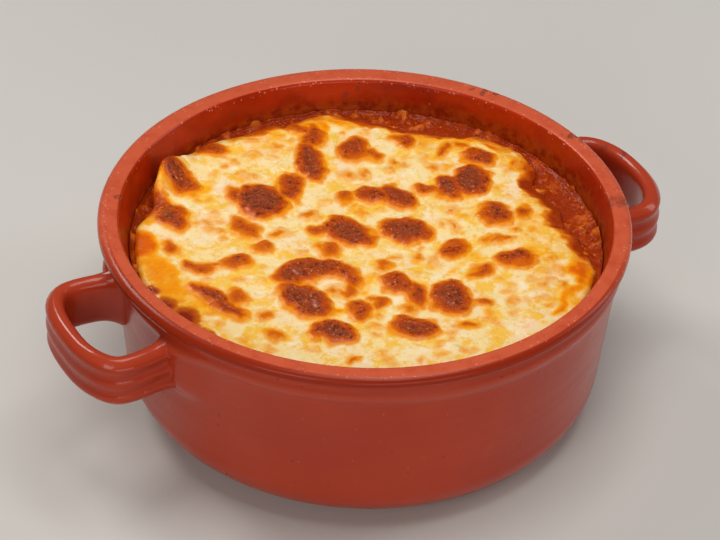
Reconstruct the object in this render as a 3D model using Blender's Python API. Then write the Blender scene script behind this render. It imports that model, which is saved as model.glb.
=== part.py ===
"""Baked pasta in its own round clay dish, in metres, +Z up.

The dish stands on z = 0 with its two strap handles along X. The pasta in tomato sauce fills it to about 12 mm under
the rim, and a sheet of melted cheese with brown blisters lies on top, short of the wall at the back and on the right.
"""

import math

import bmesh
import bpy
import numpy as np

# Divisions round the dish, the filling and the cheese alike, so that faces which lie on each other stay parallel
AROUND = 84
# Clearance between pieces that touch
GAP = 0.0003

# Dish: a thrown round body with a flat rim, a collar, a low ridge and a rounded foot
DISH_HEIGHT = 0.066
RIM_OUTER = 0.0845
RIM_INNER = 0.0783
RIM_ROUND = 0.0018
# The rim's outer edge is rounded wider than it is high
RIM_OUTER_ROUND = (0.0026, 0.0020)
LIP_HEIGHT = 0.0046
LIP_UNDER_ROUND = 0.0022
COLLAR_RADIUS = 0.0814
RIDGE_DEPTH = 0.0088
RIDGE_HALF_HEIGHT = 0.0022
RIDGE_RISE = 0.0007
RIDGE_SUNK = 0.0003
WALL_TOP_DROP = 0.0057
WALL_SHARES = (0.0, 0.2, 0.42)
WALL_TOP_RADIUS = 0.0806
WALL_FOOT_RADIUS = 0.0774
KNEE_HEIGHT = 0.017
BASE_RADIUS = 0.058
INNER_TOP_RADIUS = 0.0768
INNER_FOOT_RADIUS = 0.0712
INNER_KNEE = 0.014
INNER_KNEE_STEPS = 4
FLOOR_THICKNESS = 0.0070
FLAT_RING = 0.030

# Handles: a flat strap bent into a D, set a little forward of the centreline, with two grooves on its outer face
HANDLE_FORWARD = math.radians(2.7)
# Each by its side: direction from +X, reach, half width, depth of its outer bend and how square that is;
# the right one reaches less far, as in the photograph
HANDLES = (
    ("right", -HANDLE_FORWARD, 0.0993, 0.0217, 0.0130, 2.2),
    ("left", math.pi + HANDLE_FORWARD, 0.1039, 0.0208, 0.0105, 2.5),
)
STRAP_MIDDLE = 0.0492
STRAP_HALF_HEIGHT = 0.0086
STRAP_HALF_THICKNESS = 0.0031
STRAP_GROOVE = 0.0009
STRAP_RIBS = 3
STRAP_ROOT = 0.0758
STRAP_NARROWING = 0.0030
SECTION_SQUARENESS = 6
FLARE_LENGTH = 0.010
FLARE_HEIGHT = 0.24
FLARE_THICKNESS = 0.55

# Clay smeared from each strap end along the wall, away from the handle's middle
PAD_LENGTH = 0.0090
PAD_HALF_HEIGHT = 0.0100
PAD_RISE = 0.0040

# Food: the filling's level at the wall, how far it dips to the middle and how near the wall it does, and the cheese
FILL_LEVEL = 0.0542
FILL_DIP = 0.0016
FILL_DIP_POWER = 5
SAUCE_LUMP = 0.0011
SAUCE_LUMP_SIZE = 0.009
SAUCE_LUMP_SEED = 5
# Sauce rings: share of the way from the cheese to the wall, and share of the lumps' height
SAUCE_RINGS = ((0.30, 0.9), (0.65, 1.0), (0.90, 0.6))
# Width of bare sauce at which its lumps have their full height
SAUCE_FULL_WIDTH = 0.006
CHEESE_THICKNESS = 0.0032
CHEESE_EDGE_THICKNESS = 0.0009
CHEESE_WAVE = 0.0006
CHEESE_WAVE_SIZE = 0.016
CHEESE_WAVE_SEED = 11
BLISTER_RISE = 0.0013
# How far a blister's dome reaches past its brown patch, and the width in mm from which it has its full height
BLISTER_SKIRT = 1.16
BLISTER_FULL_WIDTH = 11
BED_SHARES = (0.30, 0.60, 0.82, 0.95, 1.0)
CHEESE_RINGS = 21
CHEESE_FIRST_RING = 0.06
# Powers that set how close to its edge the sheet, and its raised corner, fall away
SHEET_FALL = 8
CORNER_FALL = 60

# Outline of the cheese, anticlockwise from +X: degrees, and how far it reaches from the middle
CHEESE_EDGE = (
    (3, 0.0628), (9, 0.0713), (16, 0.0725), (31, 0.0718), (41, 0.0670), (51, 0.0659), (61, 0.0685), (73, 0.0728),
    (85, 0.0712), (98, 0.0717), (109, 0.0740), (121, 0.0742), (129, 0.0742), (135, 0.0726), (141, 0.0704),
    (150, 0.0738), (180, 0.0742), (215, 0.0743), (270, 0.0743), (305, 0.0742), (322, 0.0734), (332, 0.0691),
    (341, 0.0651), (350, 0.0662),
)

# Brown blisters from the photograph: x, y, length and width in mm, and the turn of the length from +X in degrees
BLISTERS = (
    (2, 44, 21, 10, 70), (19, 45, 14, 10, 61), (-43, 54, 14, 8, -76), (-52, 35, 15, 9, 90),
    (-22, 31, 19, 15, 87), (-28, 38, 10, 6, 78), (-10, 34, 15, 8, 68), (-33, 21, 14, 7, -84),
    (19, 14, 13, 9, -77), (12, 19, 11, 6, -40), (-4, 4, 19, 12, -75), (-43, 5, 11, 7, -11),
    (-55, 8, 11, 6, -54), (-25, -9, 24, 11, -5), (-15, -16, 13, 7, -86), (-33, -22, 21, 12, -77),
    (-57, -11, 22, 5, -72), (-20, -33, 10, 6, 61), (-32, -40, 14, 10, -43), (36, 41, 9, 6, 69),
    (54, 23, 10, 9, -29), (46, 11, 15, 11, 53), (38, 11, 13, 8, 61), (43, -8, 12, 9, 83),
    (12, -3, 17, 13, -38), (22, -18, 10, 7, 40), (37, -31, 13, 9, -2), (24, -32, 9, 5, 14),
    (-3, -26, 11, 8, -75), (0, -33, 12, 6, 71), (9, -40, 16, 13, 61), (-9, -48, 16, 10, -42),
    (-13, -32, 8, 5, 58), (9, 64, 12, 6, -85),
)

# A corner of the sheet that stands up and curls over beside the wall, at the back left: its line, height and width
FOLD_LINE = ((-0.0370, 0.0626), (-0.0438, 0.0590), (-0.0493, 0.0538), (-0.0535, 0.0465))
FOLD_HEIGHT = 0.0090
FOLD_HALF_WIDTH = 0.0048
# The two ends of the line, as shares of the half wave that its height follows
FOLD_ENDS = (0.12, 0.88)

# Waves summed for smooth lumps, and the range of their lengths in lump sizes
LUMP_WAVES = 6
LUMP_STRETCH = (1.2, 2.6)

SMOOTH_ANGLE = math.radians(40.0)


def clear_scene():
    for obj in list(bpy.data.objects):
        bpy.data.objects.remove(obj, do_unlink=True)


def material(name, colour, roughness):
    made = bpy.data.materials.new(name)
    made.use_nodes = True
    shader = made.node_tree.nodes["Principled BSDF"]
    shader.inputs["Base Color"].default_value = (*colour, 1.0)
    shader.inputs["Roughness"].default_value = roughness
    shader.inputs["Metallic"].default_value = 0.0
    return made


def arc(centre, radii, start, end, steps):
    """Points (r, z) on an ellipse's arc between two angles in degrees."""
    angles = np.radians(np.linspace(start, end, steps))
    return [(centre[0] + radii[0] * math.cos(a), centre[1] + radii[1] * math.sin(a)) for a in angles]


def body_of_rings(name, rings, finish):
    """A closed body through rings of points, with a fan over the first ring and over the last one."""
    count, around = len(rings), len(rings[0])
    points = [tuple(point) for ring in rings for point in ring]
    faces = []
    for i in range(count - 1):
        for k in range(around):
            after = (k + 1) % around
            faces.append((i * around + k, (i + 1) * around + k, (i + 1) * around + after, i * around + after))
    for ring, turned in ((0, False), (count - 1, True)):
        middle = len(points)
        points.append(tuple(np.mean(rings[ring], axis=0)))
        for k in range(around):
            pair = (ring * around + k, ring * around + (k + 1) % around)
            faces.append((middle, *(pair[::-1] if turned else pair)))
    mesh = bpy.data.meshes.new(name)
    mesh.from_pydata(points, [], faces)
    shape = bmesh.new()
    shape.from_mesh(mesh)
    bmesh.ops.recalc_face_normals(shape, faces=shape.faces)
    shape.to_mesh(mesh)
    shape.free()
    mesh.shade_smooth()
    mesh.set_sharp_from_angle(angle=SMOOTH_ANGLE)
    mesh.materials.append(finish)
    made = bpy.data.objects.new(name, mesh)
    bpy.context.scene.collection.objects.link(made)
    return made


def around_axis(radius, height):
    """One ring of points; radius and height are numbers, or one value for each direction."""
    angles = np.arange(AROUND) * math.tau / AROUND
    ones = np.ones(AROUND)
    return np.stack([radius * np.cos(angles), radius * np.sin(angles), height * ones], axis=1)


def outer_profile():
    """The dish's outside (r, z), from the inner edge of the rim down to the foot."""
    top = DISH_HEIGHT
    ridge = top - RIDGE_DEPTH
    wide, high = RIM_OUTER_ROUND
    lip_round = arc((RIM_OUTER - wide, top - high), (wide, high), 90, 0, 4)
    under = (COLLAR_RADIUS, top - LIP_HEIGHT + LIP_UNDER_ROUND)
    lip_under = arc(under, (RIM_OUTER - COLLAR_RADIUS, LIP_UNDER_ROUND), 0, -90, 4)
    bead = (COLLAR_RADIUS - RIDGE_SUNK, ridge)
    ridge_bead = arc(bead, (RIDGE_RISE + RIDGE_SUNK, RIDGE_HALF_HEIGHT), 75, -75, 5)
    wall_top = ridge - WALL_TOP_DROP
    wall = [
        (WALL_TOP_RADIUS + (WALL_FOOT_RADIUS - WALL_TOP_RADIUS) * share, wall_top + (KNEE_HEIGHT - wall_top) * share)
        for share in WALL_SHARES
    ]
    knee_width = WALL_FOOT_RADIUS - BASE_RADIUS
    knee = arc((BASE_RADIUS, KNEE_HEIGHT), (knee_width, KNEE_HEIGHT), 0, -90, 7)
    return lip_round + lip_under + ridge_bead + wall + knee


def inner_profile():
    """The dish's inside (r, z), from the floor up to the inner edge of the rim."""
    rim_width = RIM_INNER - INNER_TOP_RADIUS
    knee = inner_knee(0.0)[::-1]
    rim = arc((INNER_TOP_RADIUS + rim_width, DISH_HEIGHT - RIM_ROUND), (rim_width, RIM_ROUND), 180, 90, 4)
    return knee + [(inner_radius(FILL_LEVEL), FILL_LEVEL)] + rim


def inner_knee(gap):
    """The round between the dish's inner wall and its floor, downwards, at a distance from the clay."""
    centre = (INNER_FOOT_RADIUS - INNER_KNEE, FLOOR_THICKNESS + INNER_KNEE)
    return arc(centre, (INNER_KNEE - gap, INNER_KNEE - gap), 0, -90, INNER_KNEE_STEPS)


def inner_radius(z):
    """Radius of the dish's straight inner wall at a height."""
    low = FLOOR_THICKNESS + INNER_KNEE
    share = (z - low) / (DISH_HEIGHT - RIM_ROUND - low)
    return INNER_FOOT_RADIUS + (INNER_TOP_RADIUS - INNER_FOOT_RADIUS) * share


def smeared_pads(ring):
    """Moves a ring's points outwards where the strap ends are smeared into the wall."""
    angles = np.arctan2(ring[:, 1], ring[:, 0])
    rise = np.zeros(len(ring))
    for _, direction, _, half_width, _, _ in HANDLES:
        away = np.abs((angles - direction + math.pi) % math.tau - math.pi) * WALL_TOP_RADIUS
        past = (away - half_width) / np.where(away > half_width, PAD_LENGTH, PAD_LENGTH / 2)
        level = (ring[:, 2] - STRAP_MIDDLE) / PAD_HALF_HEIGHT
        rise += PAD_RISE * np.exp(-(past**2) - level**4)
    radius = np.hypot(ring[:, 0], ring[:, 1])
    moved = ring.copy()
    moved[:, :2] *= ((radius + rise) / radius)[:, None]
    return moved


def strap_middle_line(reach, half_width, bend_depth, squareness):
    """Points (across, outwards) of the strap's middle line, seen from above, from one root to the other."""
    bend = reach - bend_depth
    legs = np.linspace(STRAP_ROOT, bend, 5)[:-1]
    half = half_width - STRAP_NARROWING * (1 - np.sin((legs - STRAP_ROOT) / (bend - STRAP_ROOT) * math.pi / 2))
    turn = np.linspace(0.0, math.pi, 13)
    power = 2.0 / squareness
    across = half_width * np.sign(np.cos(turn)) * np.abs(np.cos(turn)) ** power
    outwards = bend + bend_depth * np.abs(np.sin(turn)) ** power
    return np.array(
        list(zip(half, legs)) + list(zip(across, outwards)) + list(zip(-half[::-1], legs[::-1]))
    )


def strap_section():
    """Points (outwards, up) of the strap's section, each share -1 to 1 of its half height."""
    up = np.sin(np.linspace(-math.pi / 2, math.pi / 2, 13))
    ribs = 0.5 * (1 + np.cos(math.pi * STRAP_RIBS * up))
    round_edge = np.sqrt(np.clip(1 - np.abs(up) ** SECTION_SQUARENESS, 0, 1))
    outer = (STRAP_HALF_THICKNESS - STRAP_GROOVE * (1 - ribs)) * round_edge
    inner_up = np.sin(np.linspace(math.pi / 2, -math.pi / 2, 5))[1:-1]
    inner = -STRAP_HALF_THICKNESS * np.sqrt(1 - np.abs(inner_up) ** SECTION_SQUARENESS)
    return list(zip(outer, up)) + list(zip(inner, inner_up))


def strap_handle(name, direction, sizes, finish):
    """A strap swept along its middle line, thicker and taller where it runs into the wall."""
    line = strap_middle_line(*sizes)
    forward = np.gradient(line, axis=0)
    forward /= np.linalg.norm(forward, axis=1)[:, None]
    normal = np.stack([forward[:, 1], -forward[:, 0]], axis=1)
    cosine, sine = math.cos(direction), math.sin(direction)
    rings = []
    for (across, outwards), side in zip(line, normal):
        near = 1 - (math.hypot(across, outwards) - WALL_TOP_RADIUS) / FLARE_LENGTH
        flare = min(max(near, 0.0), 1.0) ** 2
        ring = []
        for thick, up in strap_section():
            offset = thick * (1 + FLARE_THICKNESS * flare)
            t = across + side[0] * offset
            u = outwards + side[1] * offset
            z = STRAP_MIDDLE + up * STRAP_HALF_HEIGHT * (1 + FLARE_HEIGHT * flare)
            ring.append((u * cosine - t * sine, u * sine + t * cosine, z))
        rings.append(ring)
    handle = body_of_rings(name, rings, finish)
    handle.hide_render = True
    handle.display_type = "WIRE"
    return handle


def make_dish():
    finish = material("fired_clay", (0.28, 0.036, 0.018), 0.24)
    rings = [around_axis(FLAT_RING, FLOOR_THICKNESS)]
    rings += [around_axis(r, z) for r, z in inner_profile()]
    rings += [smeared_pads(around_axis(r, z)) for r, z in outer_profile()]
    rings.append(around_axis(FLAT_RING, 0.0))
    dish = body_of_rings("dish", rings, finish)
    for side, direction, *sizes in HANDLES:
        join = dish.modifiers.new(f"{side}_handle", "BOOLEAN")
        join.operation = "UNION"
        join.object = strap_handle(f"{side}_handle_form", direction, sizes, finish)
    return dish


def cheese_edge(angles):
    """How far the cheese reaches in each direction, in radians from +X."""
    at = np.array([degrees for degrees, _ in CHEESE_EDGE], float)
    reach = np.array([radius for _, radius in CHEESE_EDGE])
    return np.interp(np.degrees(angles) % 360, at, reach, period=360)


def bed_height(radius):
    """Top of the filling before its lumps, which the cheese lies on."""
    return FILL_LEVEL - FILL_DIP * (1 - (radius / INNER_TOP_RADIUS) ** FILL_DIP_POWER)


def bed_rings(raised):
    """Rings from the middle out to the cheese's edge, the same for the filling's top and the cheese's underside."""
    edge = cheese_edge(np.arange(AROUND) * math.tau / AROUND)
    return [around_axis(edge * share, bed_height(edge * share) + raised) for share in BED_SHARES]


def lumps(x, y, size, seed):
    """Smooth lumps from -1 to 1, about one size across, as a sum of waves in seeded directions."""
    draw = np.random.default_rng(seed)
    total = np.zeros(np.shape(x))
    for _ in range(LUMP_WAVES):
        turn, phase = draw.uniform(0, math.tau, 2)
        scale = math.tau / (size * draw.uniform(*LUMP_STRETCH))
        total = total + np.sin((x * math.cos(turn) + y * math.sin(turn)) * scale + phase)
    return total / math.sqrt(2 * LUMP_WAVES)


def make_filling():
    finish = material("tomato_meat_sauce", (0.16, 0.022, 0.006), 0.32)
    angles = np.arange(AROUND) * math.tau / AROUND
    edge = cheese_edge(angles)
    wall = inner_radius(FILL_LEVEL) - GAP
    rings = bed_rings(0.0)
    full = np.clip((wall - edge) / SAUCE_FULL_WIDTH, 0, 1)
    for share, level in SAUCE_RINGS:
        radius = edge + (wall - edge) * share
        x, y = radius * np.cos(angles), radius * np.sin(angles)
        bumps = SAUCE_LUMP * full * lumps(x, y, SAUCE_LUMP_SIZE, SAUCE_LUMP_SEED)
        rings.append(around_axis(radius, bed_height(radius) + bumps * level))
    rings.append(around_axis(wall, FILL_LEVEL))
    rings += [around_axis(r, z) for r, z in inner_knee(GAP)]
    return body_of_rings("filling", rings, finish)


def blister_rise(x, y):
    """Height of the blisters over the sheet: low domes that meet, one for each line of BLISTERS."""
    rise = np.zeros(np.shape(x))
    for middle_x, middle_y, length, width, turn in BLISTERS:
        cosine, sine = math.cos(math.radians(turn)), math.sin(math.radians(turn))
        dx, dy = x - middle_x / 1000, y - middle_y / 1000
        along = (dx * cosine + dy * sine) / (length / 2000)
        across = (dy * cosine - dx * sine) / (width / 2000)
        dome = np.sqrt(np.clip(1 - (along**2 + across**2) / BLISTER_SKIRT**2, 0, 1))
        rise = np.maximum(rise, dome * min(1.0, width / BLISTER_FULL_WIDTH))
    return BLISTER_RISE * rise


def fold_rise(x, y):
    """Height of the raised corner: a wall along FOLD_LINE that falls away to both of its ends."""
    line = np.array(FOLD_LINE)
    best = np.full(np.shape(x), 1.0)
    share = np.zeros(np.shape(x))
    for i in range(len(line) - 1):
        start, step = line[i], line[i + 1] - line[i]
        along = np.clip(((x - start[0]) * step[0] + (y - start[1]) * step[1]) / (step @ step), 0, 1)
        away = np.hypot(x - start[0] - along * step[0], y - start[1] - along * step[1])
        nearer = away < best
        best = np.where(nearer, away, best)
        share = np.where(nearer, (i + along) / (len(line) - 1), share)
    ends = np.sin(math.pi * (FOLD_ENDS[0] + (FOLD_ENDS[1] - FOLD_ENDS[0]) * share))
    return FOLD_HEIGHT * ends * np.exp(-((best / FOLD_HALF_WIDTH) ** 2))


def make_cheese():
    finish = material("melted_cheese", (0.86, 0.58, 0.20), 0.35)
    angles = np.arange(AROUND) * math.tau / AROUND
    edge = cheese_edge(angles)
    rings = []
    for share in np.sin(np.linspace(CHEESE_FIRST_RING, 1.0, CHEESE_RINGS) * math.pi / 2):
        radius = edge * share
        x, y = radius * np.cos(angles), radius * np.sin(angles)
        thin = (1 - share**SHEET_FALL) ** 0.5
        thickness = CHEESE_EDGE_THICKNESS + (CHEESE_THICKNESS - CHEESE_EDGE_THICKNESS) * thin
        waves = CHEESE_WAVE * lumps(x, y, CHEESE_WAVE_SIZE, CHEESE_WAVE_SEED) * thin
        corner = fold_rise(x, y) * (1 - share**CORNER_FALL) ** 0.5
        relief = waves + blister_rise(x, y) * thin**0.5 + corner
        rings.append(around_axis(radius, bed_height(radius) + GAP + thickness + relief))
    rings += bed_rings(GAP)[::-1]
    return body_of_rings("cheese", rings, finish)


clear_scene()
make_dish()
make_filling()
make_cheese()
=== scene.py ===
"""Looks of the baked pasta in its glazed clay dish: clay, cheese, sauce, crumbs, studio and camera.

Lengths are in millimetres in the modelling below, and become metres when a mesh is made.
"""

import math

import bmesh
import bpy
import numpy as np
from mathutils import Matrix, Vector


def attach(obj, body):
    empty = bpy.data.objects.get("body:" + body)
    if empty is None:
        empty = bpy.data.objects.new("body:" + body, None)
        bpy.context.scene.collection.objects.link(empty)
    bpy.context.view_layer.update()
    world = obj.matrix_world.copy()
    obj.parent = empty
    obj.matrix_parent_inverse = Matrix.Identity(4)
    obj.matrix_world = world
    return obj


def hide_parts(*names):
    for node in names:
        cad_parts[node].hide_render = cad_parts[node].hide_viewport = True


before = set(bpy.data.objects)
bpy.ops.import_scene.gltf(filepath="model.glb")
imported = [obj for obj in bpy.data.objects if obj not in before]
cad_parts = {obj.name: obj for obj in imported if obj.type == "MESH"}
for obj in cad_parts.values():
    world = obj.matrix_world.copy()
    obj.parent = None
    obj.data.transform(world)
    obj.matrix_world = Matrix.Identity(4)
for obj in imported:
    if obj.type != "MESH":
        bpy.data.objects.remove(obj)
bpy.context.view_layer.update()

MM = 0.001

# Dish, as in the solids
DISH_HEIGHT = 66.0
RIM_OUTER = 84.5
RIM_INNER = 78.3
RIM_ROUND = 1.8
RIM_OUTER_ROUND = (2.6, 2.0)
LIP_HEIGHT = 4.6
LIP_UNDER_ROUND = 2.2
COLLAR_RADIUS = 81.4
RIDGE_Z = 57.2
RIDGE_HALF_HEIGHT = 2.2
RIDGE_RISE = 0.7
WALL_TOP_Z = 51.5
WALL_TOP_RADIUS = 80.6
WALL_FOOT_RADIUS = 77.4
KNEE_HEIGHT = 17.0
BASE_RADIUS = 58.0
INNER_TOP_RADIUS = 76.8
INNER_FOOT_RADIUS = 71.2
INNER_KNEE = 14.0
FLOOR_THICKNESS = 7.0
DISH_AROUND = 384
# Radius of the circle that carries the profile, which is drawn from it outwards
SWEEP_RADIUS = 10.0
THROWING_LINES = 0.06
UNEVENNESS = 0.22
# The rim reaches a little further on one side than on the other: how far, and the direction from +X
RIM_SKEW = 0.9
RIM_SKEW_DIRECTION = math.radians(106)
# The rim's inner edge is a little oval: its shift and its stretch along one direction
INNER_SHIFT = 0.4
INNER_STRETCH = 1.1
INNER_DIRECTION = math.radians(151)

# Strap handles, as in the solids
HANDLE_FORWARD = math.radians(2.7)
# Each by its side: direction from +X, reach, half width, depth of its outer bend and how square that is
HANDLES = (
    ("right", -HANDLE_FORWARD, 99.3, 21.7, 13.0, 2.2),
    ("left", math.pi + HANDLE_FORWARD, 103.9, 20.8, 10.5, 2.5),
)
STRAP_MIDDLE = 49.2
STRAP_HALF_HEIGHT = 8.6
STRAP_HALF_THICKNESS = 3.1
STRAP_GROOVE = 0.9
STRAP_RIBS = 3
STRAP_ROOT = 75.8
STRAP_NARROWING = 3.0
SECTION_SQUARENESS = 6
STRAP_STATIONS = 150
STRAP_SECTION_POINTS = 34
FLARE_LENGTH = 9.0
FLARE_HEIGHT = 0.26
FLARE_THICKNESS = 0.75
PAD_LENGTH = 9.0
PAD_HALF_HEIGHT = 10.0
PAD_RISE = 4.0

# Food, as in the solids
GAP = 0.3
FILL_LEVEL = 54.2
FILL_DIP = 1.6
FILL_DIP_POWER = 5
CHEESE_THICKNESS = 3.2
CHEESE_EDGE_THICKNESS = 0.9
SHEET_FALL = 8
BLISTER_RISE = 1.3
BLISTER_SKIRT = 1.16
BLISTER_FULL_WIDTH = 11.0
CHEESE_EDGE = (
    (3, 62.8), (9, 71.3), (16, 72.5), (31, 71.8), (41, 67.0), (51, 65.9), (61, 68.5), (73, 72.8),
    (85, 71.2), (98, 71.7), (109, 74.0), (121, 74.2), (129, 74.2), (135, 72.6), (141, 70.4),
    (150, 73.8), (180, 74.2), (215, 74.3), (270, 74.3), (305, 74.2), (322, 73.4), (332, 69.1),
    (341, 65.1), (350, 66.2),
)
FOLD_LINE = ((-37.0, 62.6), (-43.8, 59.0), (-49.3, 53.8), (-53.5, 46.5))
FOLD_HEIGHT = 9.0
FOLD_HALF_WIDTH = 4.8
FOLD_ENDS = (0.12, 0.88)
# Reach from which the edge of the cheese counts as meeting the wall
WALL_REACH = 75.0

# Brown blisters: x, y, length, width in mm, turn of the length from +X in degrees, darkness
BLISTERS = (
    (-24, 65, 11, 7, -29, 0.8), (8, 65, 10, 6, -85, 0.6), (10, 57, 12, 8, 75, 0.8),
    (2, 44, 21, 10, 70, 0.95), (19, 45, 14, 10, 61, 0.85), (23, 39, 7, 5, -89, 0.6),
    (-42, 53, 17, 10, -72, 0.9), (-52, 35, 15, 9, 90, 0.95), (-22, 31, 19, 15, 87, 1.0),
    (-28, 38, 10, 6, 78, 0.7), (-10, 34, 15, 8, 68, 0.8), (-33, 21, 14, 7, -84, 0.5),
    (-11, 18, 6, 5, 4, 0.3), (3, 22, 7, 6, 61, 0.6), (12, 19, 13, 8, -40, 0.8),
    (19, 14, 15, 10, -77, 0.9), (-4, 4, 19, 12, -75, 0.95), (-12, 9, 9, 5, -29, 0.7),
    (-24, 13, 6, 4, 7, 0.35), (-32, 9, 7, 6, -9, 0.5), (-59, 21, 9, 4, 86, 0.6),
    (-14, -1, 7, 7, 61, 0.5), (-43, 5, 11, 7, -11, 0.6), (-55, 8, 11, 6, -54, 0.6),
    (-25, -9, 24, 11, -5, 0.9), (-15, -16, 13, 7, -86, 0.75), (-33, -22, 21, 12, -77, 0.95),
    (-51, 7, 8, 4, -40, 0.4), (-51, -11, 9, 7, -86, 0.5), (-18, -23, 8, 5, 61, 0.5),
    (-57, -11, 23, 6, -72, 0.95), (-20, -33, 10, 6, 61, 0.75), (-32, -40, 14, 10, -43, 1.0),
    (-49, -33, 6, 4, -41, 0.45), (-47, -23, 7, 5, 19, 0.35), (-23, -21, 5, 5, -29, 0.3),
    (37, 42, 11, 8, 69, 0.65), (46, 32, 11, 4, 39, 0.45), (53, 32, 7, 4, -51, 0.45),
    (54, 23, 10, 9, -29, 0.85), (45, 12, 17, 13, 53, 1.0), (37, 12, 14, 9, 61, 0.95),
    (30, 15, 8, 7, -29, 0.6), (43, -8, 12, 9, 83, 0.85), (52, -10, 6, 5, 61, 0.6),
    (10, 33, 5, 5, -29, 0.25), (15, 31, 5, 4, 61, 0.25), (12, -3, 17, 13, -38, 0.95),
    (22, -18, 10, 7, 40, 0.7), (37, -31, 13, 9, -2, 0.8), (24, -32, 9, 5, 14, 0.65),
    (-2, -16, 5, 5, -29, 0.45), (-3, -26, 11, 8, -75, 0.8), (0, -33, 12, 6, 71, 0.85),
    (9, -40, 16, 13, 61, 0.95), (-9, -48, 16, 10, -42, 0.95), (16, -46, 6, 4, -13, 0.55),
    (7, -53, 7, 3, -14, 0.6), (-6, -39, 5, 5, 61, 0.3), (-13, -32, 8, 5, 58, 0.55),
    (-32, -53, 3, 2, 24, 0.7), (37, -20, 9, 4, -13, 0.35), (34, -18, 4, 4, -29, 0.3),
    (31, 1, 4, 3, -29, 0.25), (28, -8, 7, 3, 61, 0.25),
)

# Orange oil stains on the cheese: x, y, length, width, turn, strength
STAINS = (
    (-67, 29, 22, 11, 70, 1.0), (-67, 8, 30, 14, 90, 0.68), (-61, -9, 24, 14, 110, 0.5),
    (-54, 41, 14, 8, 60, 0.8), (-31, -28, 18, 5, -29, 1.0), (-17, -56, 20, 3, -15, 0.45),
    (44, -54, 30, 6, 35, 0.8), (55, -43, 20, 8, 45, 0.95), (67, 9, 22, 8, 84, 1.0),
    (65, -13, 14, 7, 80, 0.7), (1, 70, 36, 9, -3, 1.0), (14, 61, 16, 12, 60, 0.8),
    (27, 62, 20, 7, -25, 0.9), (-37, 46, 12, 8, 20, 0.5), (-17, 61, 12, 4, 0, 0.4),
    (61, 33, 28, 7, -55, 1.0), (43, 42, 18, 7, -40, 0.8), (-37, 7, 16, 4, 0, 0.4),
    (20, -27, 20, 5, 20, 0.4), (29, 5, 16, 4, 60, 0.35), (-12, -23, 16, 5, 60, 0.5),
    (36, -2, 24, 4, 0, 0.45), (50, -28, 22, 4, 25, 0.5), (4, 12, 14, 3, 10, 0.35),
    (30, 28, 16, 3, -20, 0.35), (57, -20, 38, 26, 60, 0.38), (50, 38, 22, 9, -40, 0.6),
    (-60, -30, 26, 8, 120, 0.4), (-49, 58, 20, 7, -48, 0.95), (0, -8, 40, 18, 20, 0.22),
    (-10, 58, 50, 12, 0, 0.3),
)

# Burnt fringe where the cheese meets the wall: direction in degrees, half width of it, and depth in mm
BURNT_FRINGE = ((184, 3, 6.0), (191, 4.5, 9.0), (177, 2, 4.0), (199, 2.5, 6.0))

# Burnt marks and smears on the dish: middle, half sizes, turn, darkness
RIM_MARKS = (
    ((-67.7, 41.2, 66), (1.6, 1.2, 2), 0, 0.75), ((67.9, 44.5, 66), (3.2, 1.0, 2), 40, 0.8),
    ((71.2, 41.7, 66), (1.6, 0.8, 2), -20, 0.7), ((65.2, 47.7, 65), (1.5, 1.0, 2), 10, 0.6),
    ((81.6, 8.9, 65.4), (2.4, 1.6, 2), 30, 0.8), ((82.9, 5.3, 64.5), (2.2, 1.0, 2), 70, 0.7),
    ((74.9, -29.6, 66), (4.6, 3.4, 2), -20, 0.6), ((80.2, -32.3, 66), (2.2, 2.0, 2), 20, 0.55),
    ((76.7, -35.8, 65.5), (2.6, 0.9, 2), 70, 0.5), ((59.7, 46.1, 62.8), (1.2, 1.2, 1.5), 0, 0.8),
    ((75.0, 7.2, 64.0), (1.2, 1.6, 1.8), 0, 0.8), ((32.2, 68.9, 63.0), (1.2, 1.0, 2.4), 0, 0.6),
    ((28.7, 70.7, 60.0), (1.0, 1.0, 1.6), 0, 0.55), ((-11.2, 76.1, 60.7), (0.9, 0.9, 0.9), 0, 0.7),
    ((-46.8, 61.7, 60.5), (2.4, 1.4, 1.0), 20, 0.5), ((98.7, 2.7, 57.0), (2.5, 1.0, 1.5), 50, 0.6),
    ((102.2, -8.3, 56.0), (1.2, 2.5, 1.5), 10, 0.6), ((94.7, 9.7, 57.0), (1.6, 1.0, 1.5), 10, 0.5),
)

# Crumbs: how many for each square metre, smallest and largest radius in mm, how deep they sink in,
# and the largest turn about each axis
CRUMB_DENSITY = 150000.0
CRUMB_SIZES = (0.25, 0.75)
CRUMB_SINK = -0.15
CRUMB_TURNS = (0.7, 0.7, math.tau)

# Pale golden spots: how many, in what radius, and the seed that they are drawn from
SPOT_COUNT = 130
SPOT_REACH = 66.0
SPOT_SEED = 404

# Side of the lip where its edge is painted in shade, as a direction seen from above
SHADED_SIDE = (-0.485, -0.875)
# The inner wall as a cone for its colour: how much wider it gets per mm of height, and its radius at the base
INNER_SLOPE = 0.13
INNER_CONE = 69.95

FLOOR_REACH = 3000
# Camera: turn to the left of the front, height angle, roll, distance from the rim's middle, and lens
CAMERA_TURN = math.radians(-29.0)
CAMERA_RISE = math.radians(35.75)
CAMERA_ROLL = 0.0376
CAMERA_DISTANCE = 0.800
CAMERA_LENS = 126.5
CAMERA_SHIFT = (-0.0105, -0.0816)


# Numbers


def lattice(x, y, size, seed):
    """Smooth noise from -1 to 1 whose bumps are about one size across."""
    cells = 64
    table = np.random.default_rng(seed).uniform(-1, 1, (cells, cells))
    u, v = np.asarray(x) / size + cells / 2, np.asarray(y) / size + cells / 2
    i, j = np.floor(u).astype(int), np.floor(v).astype(int)
    s, t = u - i, v - j
    s, t = s * s * (3 - 2 * s), t * t * (3 - 2 * t)
    a, b = table[i % cells, j % cells], table[(i + 1) % cells, j % cells]
    c, d = table[i % cells, (j + 1) % cells], table[(i + 1) % cells, (j + 1) % cells]
    return (a + (b - a) * s) * (1 - t) + (c + (d - c) * s) * t


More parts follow.
